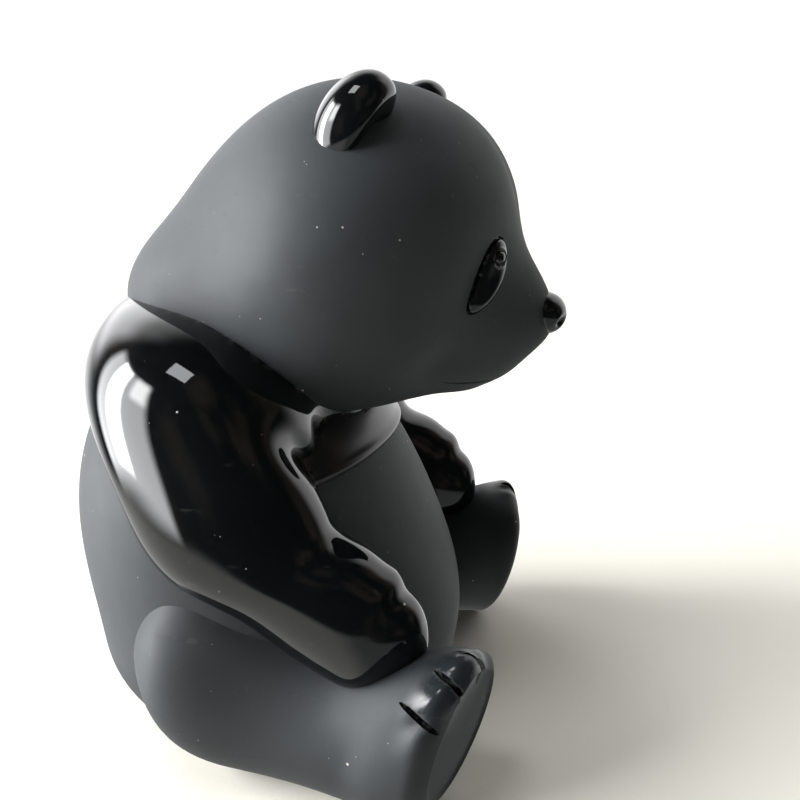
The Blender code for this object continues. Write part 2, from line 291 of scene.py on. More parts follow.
# The soft lamp overhead: what it lights in the layout, its direction in the same degrees, its distance and
# size in metres, its radiance and its colour
LAMP_AIM = (0.0, 0.05, 0.45)
LAMP_DIRECTION = (240.0, 67.0)
LAMP_DISTANCE = 0.60
LAMP_SIZE = (0.17, 0.15)
LAMP_STRENGTH = 7.6
LAMP_COLOUR = (0.96, 1.0, 1.02)

# The pale backdrop, which only the camera sees
BACKDROP = (1.05, 1.05, 1.05)

# The floor as the stone mirrors it: how far down it starts, the softness of that edge, its radiance, the
# radiance of the shaded part before the panda, and how far forward that part starts and is complete
MIRRORED_FLOOR_START = -27.0
MIRRORED_FLOOR_EDGE = 4.0
MIRRORED_FLOOR = (1.13, 1.12, 1.08)
MIRRORED_SHADE = (0.45, 0.46, 0.46)
MIRRORED_SHADE_FORWARD = (-0.10, 0.35)

# The floor sheet: its inner and outer radii in metres, the lowest value and reach of its roughness, and its
# textures in cycles to the metre
FLOOR_RADII = (0.02, 0.05, 1.6)
FLOOR_ROUGHNESS = (0.80, 0.12)
FLOOR_CLOUD_SCALE = 14
FLOOR_FIBRE_SCALE = 1500
FLOOR_FIBRE_HEIGHT = 0.00002

# The stone's textures, in cycles to the metre: long waves, clouds, two fine grains and broken patches
WAVE_SCALE = 55
CLOUD_SCALE = 38
FINE_SCALE = 330
BROKEN_SCALE = 700
GRAIN_SCALE = 3200

# Dust: the scale of its cells, the size of a speck in its cell and the share of cells with one, first for the
# coarse dust and then for the small, which counts for less
COARSE_DUST = (310, 0.055, 0.30)
SMALL_DUST = (900, 0.07, 0.10)
SMALL_DUST_WEIGHT = 0.6

# Scuffs: the turn of their lines in radians and the scale across them, and that along them as a share of it
SCUFFS = (((0.5, 0.9, 0.3), 520), ((1.9, 0.2, 1.1), 610))
SCUFF_STRETCH = 0.06

# How dark the two tones of polished stone are beside the stone's darker colour
POLISHED_TONES = (0.12, 0.25)

# How pale a scuff is beside dust. Then the roughness: the shares of its spread that the fine texture and the
# scuffs reach, what dust adds, the share that polish takes at 1, what it adds at -1, and the limits.
SCUFF_DUST = 0.12
FINE_ROUGHNESS = 0.8
SCUFF_ROUGHNESS = 0.5
DUST_ROUGHNESS = 0.25
POLISH_TAKES = 0.80
POLISH_ADDS = 0.30
ROUGHNESS_LIMITS = (0.02, 0.9)

# Heights in metres: the fine texture and the grain at full roughness, and a speck of dust
FINE_HEIGHT = 0.00012
GRAIN_HEIGHT = 0.00002
DUST_HEIGHT = 0.00004
DUST_COLOUR = (0.42, 0.42, 0.40, 1)

# How finely each form is cut: points along it, and points round it
HEAD_RINGS, HEAD_SIDES = 150, 225
TORSO_RINGS, TORSO_SIDES = 130, 150
COLLAR_OUTER_RINGS, COLLAR_INNER_RINGS, COLLAR_SIDES = 40, 12, 150
ARM_RINGS, PAW_RINGS, MANTLE_SIDES = 105, 26, 116
SHANK_RINGS, LEG_END_RINGS, LEG_SIDES = 100, 26, 120
EAR_RINGS, EAR_SIDES = 62, 72
NOSE_RINGS, NOSE_SIDES = 46, 56
PATCH_RINGS, PATCH_BACK_RINGS, PATCH_SIDES = 44, 8, 120
CLAW_RINGS, MOUTH_RINGS, PATCH_GROOVE_RINGS, GROOVE_SIDES = 40, 120, 200, 14
FLOOR_RINGS, FLOOR_SIDES = 24, 96

# The angle in degrees past which an edge stays sharp, and how many points its pale rim spreads over. The rim
# is painted as dust and as a painted highlight along the crease.
CREASE_ANGLE = 38
RIM_ROUNDS = 5

# The two finishes' places among the materials, the two sides, and the helpers' collections
FROSTED, POLISHED = 0, 1
SIDES = ((1, "left"), (-1, "right"))
FORMS = "panda_forms"
CUTTERS = "panda_cutters"


def to_world(points):
    """Layout coordinates x, f, z as world metres."""
    points = np.asarray(points, float)
    return UNIT * np.stack([points[..., 0], -points[..., 1], points[..., 2]], axis=-1) + (0, BACK_SHIFT, 0)


def smooth_rows(keys, at):
    """A natural cubic spline through rows of (position, values...), read at each position in at."""
    keys = np.asarray(keys, float)
    knots, rows = keys[:, 0], keys[:, 1:]
    count, gaps = len(knots), np.diff(knots)
    system, right = np.eye(count), np.zeros_like(rows)
    for i in range(1, count - 1):
        system[i, i - 1 : i + 2] = gaps[i - 1], 2 * (gaps[i - 1] + gaps[i]), gaps[i]
        right[i] = 6 * ((rows[i + 1] - rows[i]) / gaps[i] - (rows[i] - rows[i - 1]) / gaps[i - 1])
    bend = np.linalg.solve(system, right)
    at = np.asarray(at, float)
    i = np.clip(np.searchsorted(knots, at) - 1, 0, count - 2)
    before, after = (knots[i + 1] - at)[..., None], (at - knots[i])[..., None]
    gap = gaps[i][..., None]
    curve = (bend[i] * before**3 + bend[i + 1] * after**3) / (6 * gap)
    curve = curve + (rows[i] / gap - bend[i] * gap / 6) * before
    return curve + (rows[i + 1] / gap - bend[i + 1] * gap / 6) * after


def gathered(count, low, high, middle, spread, gain):
    """Positions from low to high, spaced by one over 1 + gain * a bell curve round the middle."""
    fine = np.linspace(low, high, 4001)
    reached = np.cumsum(1 + gain * np.exp(-(((fine - middle) / spread) ** 2)))
    return np.interp(np.linspace(reached[0], reached[-1], count), reached, fine)


def full_turn(sides):
    """Even angles in radians, once round."""
    return np.arange(sides) * 2 * math.pi / sides


def wrapped(degrees):
    """The same angle between -180 and 180 degrees."""
    return (degrees + 180) % 360 - 180


def relief(table, first, second):
    """The sum of bell-shaped swellings and hollows, each with its own place, spreads and height."""
    total = 0.0
    for place, turn, spread, turn_spread, height in table:
        off, off_turn = (first - place) / spread, wrapped(second - turn) / turn_spread
        total = total + height * np.exp(-(off**2) - off_turn**2)
    return total


def head_surface(directions):
    """The head in each direction from its middle.

    The distance is the outline's spline in the middle plane, carried out to the half width by an ellipse,
    plus the muzzle's round swelling and the soft relief of the face. A bell curve narrows the half width
    behind the cheeks.
    """
    outline = np.array(HEAD_OUTLINE, float)
    around = np.concatenate([outline[-3:] - (360, 0), outline, outline[:3] + (360, 0)])
    side = directions[..., 0]
    angle = np.degrees(np.arctan2(directions[..., 2], directions[..., 1])) % 360
    out = np.degrees(np.arcsin(np.clip(side, -1, 1)))
    middle = smooth_rows(around, angle)[..., 0]
    narrowed = np.exp(-(((directions[..., 1] - HEAD_TAPER_PLACE) / HEAD_TAPER_SPREAD) ** 2))
    wide = HEAD_HALF_WIDTH * (1 - HEAD_TAPER_SHARE * narrowed)
    distance = 1 / np.sqrt((1 - side**2) / middle**2 + side**2 / wide**2)
    off_muzzle = wrapped(angle - MUZZLE_ANGLE) / MUZZLE_SPREAD
    distance = distance + MUZZLE_LENGTH * np.exp(-(off_muzzle**2) - (out / MUZZLE_SPREAD) ** 2)
    distance = distance + relief(HEAD_RELIEF, np.abs(out), angle)
    return np.array(HEAD_MIDDLE) + directions * distance[..., None]


def face_direction(out, up):
    """The unit direction at angles in degrees out to the left and up from forward."""
    out, up = np.radians(out), np.radians(up)
    return np.stack([np.sin(out), np.cos(out) * np.cos(up), np.cos(out) * np.sin(up)], axis=-1)


def head_rings():
    """Rings about the line through both cheeks, closer together over the face."""
    out = gathered(HEAD_RINGS, -90, 90, 0, 42, 1.2)[1:-1, None]
    up = gathered(HEAD_SIDES, -200, 160, -20, 50, 1.3)[None, :-1]
    return head_surface(face_direction(out + 0 * up, up + 0 * out))


def rounded_ends(run, start, end):
    """How far a section is drawn in along the run: quarter ellipses of these lengths at its two ends."""
    drawn = np.ones_like(run)
    if start > 0:
        drawn = np.where(run < start, np.sqrt(np.clip(1 - (1 - run / start) ** 2, 0, 1)), drawn)
    return np.where(run > 1 - end, np.sqrt(np.clip(1 - ((run - 1 + end) / end) ** 2, 0, 1)), drawn)


def swept(values, drawn, angles, table, run):
    """Rings of middle + along * cos + across * sin, drawn in at the ends and swollen by a table of relief.

    The relief reads the root of the run's square plus a small square, so that both sides meet smoothly at 0.
    """
    middle, along, across = values[:, None, 0:3], values[:, None, 3:6], values[:, None, 6:9]
    turn = angles[None, :, None]
    spoke = along * np.cos(turn) + across * np.sin(turn)
    swelling = relief(table, np.hypot(run, MIDDLE_SMOOTHING)[:, None], np.degrees(angles)[None])[..., None]
    length = np.linalg.norm(spoke, axis=-1, keepdims=True)
    return middle + spoke * (1 + swelling / length) * drawn[:, None, None]


def mantle_rings(run, angles):
    """Rings of the mantle at each run: -1 is the right hand, 0 the middle plane and 1 the left hand."""
    rows = np.array([(at, *middle, *along, *across) for at, middle, along, across in MANTLE_SECTIONS])
    flip = np.array([-1, -1, 1, 1, -1, 1, 1, -1, 1, 1])
    values = smooth_rows(np.concatenate([(rows * flip)[:0:-1], rows]), run)
    return swept(values, rounded_ends(np.abs(run), 0, HAND_ROUNDING), angles, ARM_RELIEF, run)


def leg_values(run):
    """The leg's middle, up axis and out axis at each run, as a spline through its sections."""
    out_x, out_f = math.cos(math.radians(TOE_OUT)), -math.sin(math.radians(TOE_OUT))
    rows = [
        (at, *middle, 0, lean, tall, wide * out_x, wide * out_f, 0)
        for at, middle, tall, lean, wide in LEG_SECTIONS
    ]
    return smooth_rows(rows, run)


def leg_rings(side, angles, recess):
    """Rings of one leg from haunch to sole, whose face is a squared-off dome sunk a little inside its rim."""
    ease = np.linspace(0, math.pi / 2, LEG_END_RINGS)
    haunch = HAUNCH_ROUNDING * (1 - np.cos(ease))[1:-1]
    shank = gathered(SHANK_RINGS, HAUNCH_ROUNDING, 1 - SOLE_ROUNDING, 0.93, 0.12, 1.4)
    share = np.sin(ease)[-2:0:-1]
    sole = 1 - SOLE_ROUNDING * (1 - (1 - share**SOLE_SQUARENESS) ** (1 / SOLE_SQUARENESS))
    sunk = recess * np.clip(1 - (share / SOLE_RIM) ** 2, 0, 1) ** SOLE_EDGE
    run = np.concatenate([haunch, shank, sole])
    drawn = np.concatenate([np.sqrt(1 - (1 - haunch / HAUNCH_ROUNDING) ** 2), np.ones(len(shank)), share])
    rings = swept(leg_values(run), drawn, angles, LEG_RELIEF, run)
    back = np.concatenate([np.zeros(len(haunch) + len(shank)), sunk])[:, None, None]
    toe = np.array([math.sin(math.radians(TOE_OUT)), math.cos(math.radians(TOE_OUT)), SOLE_LEAN])
    return (rings - back * toe) * (side, 1, 1), run


def leg_points(side, run, angles):
    """Points of one leg's skin at pairs of run and angle in radians, with the way out of the skin at each."""
    values = leg_values(run)
    spoke = values[:, 3:6] * np.cos(angles)[:, None] + values[:, 6:9] * np.sin(angles)[:, None]
    length = np.linalg.norm(spoke, axis=1, keepdims=True)
    swelling = relief(LEG_RELIEF, run, np.degrees(angles))[:, None]
    drawn = rounded_ends(run, 0, SOLE_ROUNDING)[:, None]
    points = values[:, 0:3] + spoke * (1 + swelling / length) * drawn
    return points * (side, 1, 1), spoke / length * (side, 1, 1)


def torso_rings():
    """Rings of the torso at each level, as ellipses between its front, back and half width."""
    levels = np.linspace(TORSO_LEVELS[0][0], TORSO_LEVELS[-1][0], TORSO_RINGS)
    angles = full_turn(TORSO_SIDES)
    front, back, wide = smooth_rows(TORSO_LEVELS, levels).T[..., None]
    middle, deep = (front + back) / 2, (front - back) / 2
    x, f = wide * np.sin(angles), middle + deep * np.cos(angles)
    return np.stack([x, f, levels[:, None] + 0 * angles], axis=-1)


def collar_rings(angles):
    """A band over the torso's upper front: down its outside to a raised lip, then back up inside the torso.

    Each ring is the torso's ellipse at its level, grown or shrunk by the band's height there.
    """
    outer = np.sin(np.linspace(0, math.pi / 2, COLLAR_OUTER_RINGS))
    share = np.concatenate([outer, np.linspace(1, 0, COLLAR_INNER_RINGS)[1:]])[:, None]
    outside = (np.arange(len(share)) < COLLAR_OUTER_RINGS)[:, None]
    low = COLLAR_LOW + COLLAR_RISE * np.cos(angles)
    levels = COLLAR_TOP + (low - COLLAR_TOP) * share
    front, back, wide = np.moveaxis(smooth_rows(TORSO_LEVELS, levels), -1, 0)
    over_chest = np.exp(-((wrapped(np.degrees(angles)) / COLLAR_SPREAD) ** 6))
    lip = COLLAR_LIP * np.exp(-(((share - COLLAR_LIP_PLACE) / COLLAR_LIP_SPREAD) ** 2))
    proud = COLLAR_HEIGHT * np.sqrt(1 - share**10) + lip
    grown = np.where(outside, (proud + COLLAR_INSIDE) * over_chest, 0) - COLLAR_INSIDE
    middle, deep = (front + back) / 2, (front - back) / 2
    x, f = (wide + grown) * np.sin(angles), middle + (deep + grown) * np.cos(angles)
    return np.stack([x, f, levels], axis=-1)


def ear_rings(side, dish):
    """Rings from the middle of the ear's back round its rim to the middle of its front.

    The back is half an ellipsoid. The front is flatter, falls away at its rim and sinks in the middle by the
    dish.
    """
    turn = np.linspace(0, math.pi, EAR_RINGS)[1:-1, None]
    share, through = np.sin(turn), -np.cos(turn)
    front = EAR_FRONT * np.sqrt(1 - share**4) - dish * (1 - share**2) ** 1.5
    through = np.where(through > 0, front, through)
    angle = full_turn(EAR_SIDES)[None]
    middle, across, tall, out = (np.array(row) for row in EAR)
    flat = across * (share * np.cos(angle))[..., None] + tall * (share * np.sin(angle))[..., None]
    shift = np.array(LEFT_EAR_SHIFT) * (side > 0)
    return (middle + shift + flat + out * (through + 0 * angle)[..., None]) * (side, 1, 1)


def nose_rings():
    """An ellipsoid about its forward axis, broader above than below, with a nostril pressed in each side."""
    turn = np.linspace(0, math.pi, NOSE_RINGS)[1:-1, None]
    angle = full_turn(NOSE_SIDES)[None]
    middle, across, tall, out = (np.array(row) for row in NOSE)
    wide = np.sin(turn) * np.cos(angle)
    high = np.sin(turn) * np.sin(angle)
    forward = -np.cos(turn) + 0 * angle
    off_out, off_up = (np.abs(wide) - NOSTRIL_OUT) / NOSTRIL_SPREAD, (high + NOSTRIL_DOWN) / NOSTRIL_SPREAD
    nostril = NOSTRIL_DEPTH * np.exp(-(off_out**2) - off_up**2) * (forward > 0)
    wide = wide * (1 + NOSE_FLARE * high)
    return middle + across * wide[..., None] + tall * high[..., None] + out * (forward - nostril)[..., None]


def patch_place(share, turn):
    """Out and up in degrees at a share of the eye patch's half sizes, with the angles along and across it."""
    tilt = math.radians(EYE_PATCH_TILT)
    along = share * EYE_PATCH_HALF_LENGTH * np.cos(turn)
    across = share * EYE_PATCH_HALF_WIDTH * np.sin(turn) * (1 + EYE_PATCH_FLARE * np.cos(turn))
    out = EYE_PATCH_OUT - along * math.sin(tilt) + across * math.cos(tilt)
    up = EYE_PATCH_UP + along * math.cos(tilt) + across * math.sin(tilt)
    return out, up, along, across


def eye_patch_rings(side, raised):
    """A thin skin on the head, raised by a rounded rim, with a round eye in a ring near its upper end.

    Each height is a sum of the rim's curve, the ball's half circle and a bell curve for each ring.
    """
    share = np.sin(np.linspace(0.02, 1, PATCH_RINGS) * math.pi / 2)[:, None]
    turn = full_turn(PATCH_SIDES)[None]
    out, up, along, across = patch_place(share, turn)
    rim = np.sqrt(np.clip(1 - share**5, 0, 1))
    off_eye = np.hypot(along - EYE_ALONG, across) / EYE_RADIUS
    ball_radius, ball_height = EYEBALL
    ball = ball_height * np.sqrt(np.clip(1 - (off_eye / ball_radius) ** 2, 0, 1))
    ring = sum(tall * np.exp(-(((off_eye - place) / EYE_RING_SPREAD) ** 2)) for place, tall in EYE_RINGS)
    hollow = PATCH_MIDDLE + (1 - PATCH_MIDDLE) * (along / EYE_PATCH_HALF_LENGTH) ** 2
    height = raised / UNIT * (rim * hollow + ball + ring * rim)
    direction = face_direction(out, up)
    over = head_surface(direction) + direction * height[..., None]
    share = np.linspace(0.94, 0.10, PATCH_BACK_RINGS)[:, None]
    out, up, along, across = patch_place(share, turn)
    direction = face_direction(out, up)
    under = head_surface(direction) - direction * PATCH_INSIDE
    return np.concatenate([over, under]) * (side, 1, 1)


def groove_rings(points, outward, width, depth, closed=False):
    """A lens-shaped section carried along points in the skin, with its lowest line at this depth.

    Its half height is twice the depth, and an open groove runs out to a point at both ends.
    """
    points, outward = to_world(points), outward * (1, -1, 1)
    along = np.roll(points, -1, 0) - np.roll(points, 1, 0) if closed else np.gradient(points, axis=0)
    along = along / np.linalg.norm(along, axis=1, keepdims=True)
    outward = outward - along * (outward * along).sum(axis=1, keepdims=True)
    outward = outward / np.linalg.norm(outward, axis=1, keepdims=True)
    across = np.cross(along, outward)
    place = np.linspace(-1, 1, len(points))
    narrow = np.ones(len(points)) if closed else np.sqrt(1 - np.abs(place) ** GROOVE_TAPER)
    narrow = np.maximum(narrow, GROOVE_TIP)[:, None, None]
    turn = full_turn(GROOVE_SIDES)[None, :, None]
    tall = 2 * depth
    lens = across[:, None] * width / 2 * np.cos(turn) + outward[:, None] * tall * np.sin(turn)
    return points[:, None] + outward[:, None] * (tall - depth) * narrow + lens * narrow


def between(stops, count):
    """Rows of values at even steps along a spline through the stops."""
    keys = np.column_stack([np.linspace(0, 1, len(stops)), np.array(stops, float)])
    return smooth_rows(keys, np.linspace(0, 1, count))


def skin_faces(rows, sides, closed):
    """Quads between each ring and the next, then either back to the first ring or a fan at each end."""
    row, column = np.meshgrid(np.arange(rows if closed else rows - 1), np.arange(sides), indexing="ij")
    here, beside = row * sides + column, row * sides + (column + 1) % sides
    count = rows * sides
    quads = np.stack([here, beside, (beside + sides) % count, (here + sides) % count], axis=-1).reshape(-1, 4)
    if closed:
        return quads, np.zeros((0, 3), int)
    edge = np.arange(sides)
    first = np.stack([(edge + 1) % sides, edge, np.full(sides, count)], axis=-1)
    last = count - sides + np.stack([edge, (edge + 1) % sides, np.full(sides, sides + 1)], axis=-1)
    return quads, np.concatenate([first, last])


def skin(name, rings, finish, collection, polish=0.0, closed=False):
    """A closed skin over rings of world points. It is turned so that the volume inside it is positive."""
    rows, sides = rings.shape[:2]
    quads, fans = skin_faces(rows, sides, closed)
    points = rings.reshape(-1, 3)
    if not closed:
        points = np.concatenate([points, [rings[0].mean(axis=0)], [rings[-1].mean(axis=0)]])
    corners = np.concatenate([fans, quads[:, [0, 1, 2]], quads[:, [0, 2, 3]]])
    first, second, third = (points[corners[:, i]] for i in range(3))
    if np.einsum("ij,ij->", first, np.cross(second, third)) < 0:
        quads, fans = quads[:, ::-1], fans[:, ::-1]
    mesh = bpy.data.meshes.new(name)
    mesh.from_pydata(points.tolist(), [], quads.tolist() + fans.tolist())
    if mesh.validate():
        raise RuntimeError(f"{name} has faces that touch themselves")
    mesh.polygons.foreach_set("material_index", np.full(len(mesh.polygons), finish, np.int32))
    shine = np.zeros(len(mesh.vertices), np.float32)
    shine[: rows * sides] = np.broadcast_to(polish, (rows, sides)).reshape(-1)
    mesh.attributes.new("polish", "FLOAT", "POINT").data.foreach_set("value", shine)
    for material in stone_materials():
        mesh.materials.append(material)
    mesh.shade_smooth()
    collection.objects.link(bpy.data.objects.new(name, mesh))


class Signal:
    """A value inside a material. Arithmetic on it adds Math nodes, and make adds any other node."""

    def __init__(self, tree, socket=None):
        self.tree = tree
        self.socket = socket

    def make(self, kind, settings, inputs, output=0):
        """A node of this kind, with its settings made first and then its sockets' values or links."""
        node = self.tree.nodes.new(kind)
        for name, value in settings.items():
            setattr(node, name, value)
        for name, value in inputs.items():
            if isinstance(value, Signal):
                self.tree.links.new(value.socket, node.inputs[name])
            else:
                node.inputs[name].default_value = value
        return Signal(self.tree, node.outputs[output])

    def math(self, operation, other=0.0):
        """A Math node on this value and another."""
        return self.make("ShaderNodeMath", {"operation": operation}, {0: self, 1: other})

    def __add__(self, other):
        return self.math("ADD", other)

    __radd__ = __add__

    def __sub__(self, other):
        return self.math("SUBTRACT", other)

    def __rsub__(self, other):
        return self.make("ShaderNodeMath", {"operation": "SUBTRACT"}, {0: other, 1: self})

    def __mul__(self, other):
        return self.math("MULTIPLY", other)

    __rmul__ = __mul__

    def dot(self, direction):
        """How far this vector points along a direction."""
        settings = {"operation": "DOT_PRODUCT"}
        return self.make("ShaderNodeVectorMath", settings, {0: self, 1: direction}, "Value")

    def noise(self, scale, detail, roughness=0.5):
        """Fractal noise from 0 to 1 over this vector."""
        sizes = {"Vector": self, "Scale": scale, "Detail": detail, "Roughness": roughness}
        return self.make("ShaderNodeTexNoise", {}, sizes, "Fac")

    def ramp(self, low, high):
        """0 below low, 1 above high and a smooth step between, or the reverse where low is above high."""
        limits = {"Value": self, "From Min": min(low, high), "From Max": max(low, high)}
        limits.update({"To Min": float(low > high), "To Max": float(low < high)})
        return self.make("ShaderNodeMapRange", {"interpolation_type": "SMOOTHSTEP"}, limits)


def mixed_colour(factor, first, second):
    """Blender's Mix node keeps its colours at sockets 6 and 7, and gives them out at output 2."""
    return factor.make("ShaderNodeMix", {"data_type": "RGBA"}, {0: factor, 6: first, 7: second}, 2)


def specks(place, scale, size, share):
    """Small round dots, one to a Voronoi cell, in this share of the cells."""
    cell = {"Vector": place, "Scale": scale, "Randomness": 1.0}
    distance = place.make("ShaderNodeTexVoronoi", {"feature": "F1"}, cell, "Distance")
    colour = place.make("ShaderNodeTexVoronoi", {"feature": "F1"}, cell, "Color")
    chance = place.make("ShaderNodeSeparateColor", {}, {"Color": colour}, "Red")
    width = place.make("ShaderNodeSeparateColor", {}, {"Color": colour}, "Green")
    return (distance - width * size).ramp(size * 0.5, 0.0) * chance.ramp(1 - share, 1 - share + 0.02)


def scuffs(place, turn, scale):
    """Fine short lines: noise stretched along one way, kept only near its crests."""
    stretched = (scale, scale * SCUFF_STRETCH, scale)
    placed = place.make("ShaderNodeMapping", {}, {"Vector": place, "Rotation": turn, "Scale": stretched})
    return placed.noise(1.0, 2.0).ramp(0.66, 0.74)


def make_stone(name, base, light, dust, rim_dust_and_highlight, roughness, spread, waves):
    """Black stone: mottled colour, dust, scuffs and grain, over long shallow waves left by the hand, with
    pale rims at creases that are partly dust and partly a painted highlight.

    Its roughness is a middle value plus each texture's share of the spread, and its waves are in metres.
    Its polish attribute smooths it where it is 1, and roughens it where it is -1.
    """
    material = bpy.data.materials.new(name)
    material.use_nodes = True
    tree = material.node_tree
    shader = tree.nodes["Principled BSDF"]
    start = Signal(tree)
    place = start.make("ShaderNodeTexCoord", {}, {}, "Object")
    polish = start.make("ShaderNodeAttribute", {"attribute_name": "polish"}, {}, "Fac")
    rim = start.make("ShaderNodeAttribute", {"attribute_name": "rim"}, {}, "Fac")
    cloud = place.noise(CLOUD_SCALE, 4, 0.6)
    fine = place.noise(FINE_SCALE, 3, 0.6)
    grain = place.noise(GRAIN_SCALE, 2, 0.6)
    dots = specks(place, *COARSE_DUST) + specks(place, *SMALL_DUST) * SMALL_DUST_WEIGHT
    first, second = (scuffs(place, turn, scale) for turn, scale in SCUFFS)
    lines = first + second
    broken = place.noise(BROKEN_SCALE, 3).ramp(0.45, 0.62)
    # Pale marks: dust specks, scuffs, and near creases a pale rim that is partly dust and partly a painted
    # highlight along the edge
    pale = dots * dust + lines * broken * (dust * SCUFF_DUST) + rim * broken * rim_dust_and_highlight
    stone = mixed_colour(cloud.ramp(0.30, 0.72), base, light)
    dusted = mixed_colour(pale.ramp(0.0, 1.0), stone, DUST_COLOUR)
    tree.links.new(dusted.socket, shader.inputs["Base Color"])
    rough = roughness + (cloud - 0.5) * spread + (fine - 0.5) * (spread * FINE_ROUGHNESS)
    rough = rough + lines * (spread * SCUFF_ROUGHNESS) + dots * DUST_ROUGHNESS
    rough = rough * (1 - polish.math("MAXIMUM") * POLISH_TAKES) - polish.math("MINIMUM") * POLISH_ADDS
    least, most = ROUGHNESS_LIMITS
    kept = rough.make("ShaderNodeClamp", {}, {"Value": rough, "Min": least, "Max": most})
    tree.links.new(kept.socket, shader.inputs["Roughness"])
    height = place.noise(WAVE_SCALE, 1) * waves + fine * (spread * FINE_HEIGHT)
    height = height + grain * (roughness * GRAIN_HEIGHT) + dots * DUST_HEIGHT
    bump = start.make("ShaderNodeBump", {}, {"Height": height, "Distance": 1.0, "Strength": 1.0})
    tree.links.new(bump.socket, shader.inputs["Normal"])
    return material


def stone_materials():
    """The two finishes, made when first asked for."""
    colours = bpy.context.scene.panda_colours
    made = [bpy.data.materials.get("frosted_stone"), bpy.data.materials.get("polished_stone")]
    if None not in made:
        return made
    base, light = (*colours.stone, 1), (*colours.stone_cloud, 1)
    deep, dark = ((*(tone * np.array(colours.stone)), 1) for tone in POLISHED_TONES)
    # rim_dust_and_highlight: how pale the creases are painted, partly as dust and partly as a painted
    # highlight along the edge
    frosted = {"dust": 1.0, "rim_dust_and_highlight": 0.05, "roughness": 0.70, "spread": 0.10, "waves": 0.00010}
    polished = {"dust": 0.8, "rim_dust_and_highlight": 0.20, "roughness": 0.045, "spread": 0.035, "waves": 0.00030}
    return [
        make_stone("frosted_stone", base, light, **frosted),
        make_stone("polished_stone", deep, dark, **polished),
    ]


def collection_named(name):
    """The collection of this name, made and linked when it is first asked for."""
    made = bpy.data.collections.get(name)
    if made is None:
        made = bpy.data.collections.new(name)
        bpy.context.scene.collection.children.link(made)
    return made


def applied_mesh(body):
    """The object's mesh with its modifiers applied."""
    graph = bpy.context.evaluated_depsgraph_get()
    shaped = body.evaluated_get(graph)
    return bpy.data.meshes.new_from_object(shaped, preserve_all_data_layers=True, depsgraph=graph)


def boolean(body, operation, operands):
    """Joins a collection's objects to the body, or cuts them from it, and applies the result."""
    joined = body.modifiers.new(operation.title(), "BOOLEAN")
    joined.operation = operation
    joined.solver = "MANIFOLD"
    joined.operand_type = "COLLECTION"
    joined.collection = operands
    mesh = applied_mesh(body)
    if not mesh.polygons:
        raise RuntimeError(f"{body.name}: the {operation.lower()} left nothing")
    body.modifiers.clear()
    body.data = mesh


def read(data, name, width, kind=np.float32):
    """One property of every item in a mesh's data, as rows of this width."""
    values = np.empty(len(data) * width, kind)
    data.foreach_get(name, values)
    return values.reshape(-1, width) if width > 1 else values


def clear_forms():
    """Removes the joined forms and the cutters."""
    for name in (FORMS, CUTTERS):
        for helper in list(collection_named(name).objects):
            bpy.data.objects.remove(helper, do_unlink=True)
        bpy.data.collections.remove(collection_named(name))


def mark_rims(mesh, rounds):
    """Stores how near each point is to a crease: 1 on the crease, averaged outwards along the edges. The
    stone paints it paler, as dust and as a painted highlight.
    """
    edges = read(mesh.edges, "vertices", 2, np.int32)
    sharp = read(mesh.attributes["sharp_edge"].data, "value", 1, bool)
    near = np.zeros(len(mesh.vertices))
    near[edges[sharp].reshape(-1)] = 1
    on_crease = near > 0
    number = np.bincount(edges.reshape(-1), minlength=len(near))
    first, second = edges.T
    for _ in range(rounds):
        total = np.bincount(first, near[second], len(near)) + np.bincount(second, near[first], len(near))
        near = np.where(on_crease, 1, total / np.maximum(number, 1))
    mesh.attributes.new("rim", "FLOAT", "POINT").data.foreach_set("value", near.astype(np.float32))


def size_property(name, description, default):
    """A length in metres that a user can change."""
    return bpy.props.FloatProperty(
        name=name, description=description, default=default, min=0, unit="LENGTH", precision=5
    )


def colour_property(name, description, default):
    """A colour that a user can change."""
    return bpy.props.FloatVectorProperty(
        name=name, description=description, default=default, size=3, subtype="COLOR", min=0, max=1
    )


class PandaSizes(bpy.types.PropertyGroup):
    """Sizes of the finer carving, in metres."""

    claw_groove_width: size_property("Claw groove width", "Width of each groove over the toes", 0.0010)
    claw_groove_depth: size_property("Claw groove depth", "Depth of each groove over the toes", 0.0011)
    eye_patch_raise: size_property("Eye patch height", "How far an eye patch stands up from the head", 0.0009)
    mouth_groove_width: size_property("Mouth line width", "Width of the line of the mouth", 0.0006)
    seam_groove_width: size_property("Edge groove width", "Width of the groove round each eye patch", 0.0005)
    sole_recess: size_property("Sole recess", "How far the middle of a sole lies inside its rim", 0.0013)
    ear_dish: bpy.props.FloatProperty(
        name="Ear dish",
        description="Hollow in the front of an ear, as a share of its half thickness",
        default=0.30,
        min=0,
        max=1,
    )


class PandaColours(bpy.types.PropertyGroup):
    """Colours of the stone and of the floor."""

    stone: colour_property("Stone", "The stone's darker colour", (0.0125, 0.0155, 0.0175))
    stone_cloud: colour_property("Stone clouds", "The paler clouds in the stone", (0.0195, 0.024, 0.0275))
    floor: colour_property("Floor", "The pale floor", (0.825, 0.80, 0.72))


class PANDA_OT_frosted_forms(bpy.types.Operator):
    """Shape the head, torso and legs"""

    bl_idname = "panda.frosted_forms"
    bl_label = "Frosted forms"

    def execute(self, context):
        sizes = context.scene.panda_sizes
        forms = collection_named(FORMS)
        skin("panda", to_world(torso_rings()), FROSTED, context.scene.collection)
        skin("head", to_world(head_rings()), FROSTED, forms)
        angles = full_turn(LEG_SIDES)
        off_toes = (wrapped(np.degrees(angles)) - TOE_POLISH_ANGLE) / TOE_POLISH_SPREAD
        for side, side_name in SIDES:
            rings, run = leg_rings(side, angles, sizes.sole_recess / UNIT)
            starts = np.clip((run - TOE_POLISH_START) / TOE_POLISH_EASE, 0, 1)
            ends = np.clip((1 - run) / SOLE_POLISH_EASE, 0, 1)
            polish = (starts * ends)[:, None] * np.exp(-(off_toes**4))
            skin(f"{side_name}_leg", to_world(rings), FROSTED, forms, polish=polish)
        return {"FINISHED"}


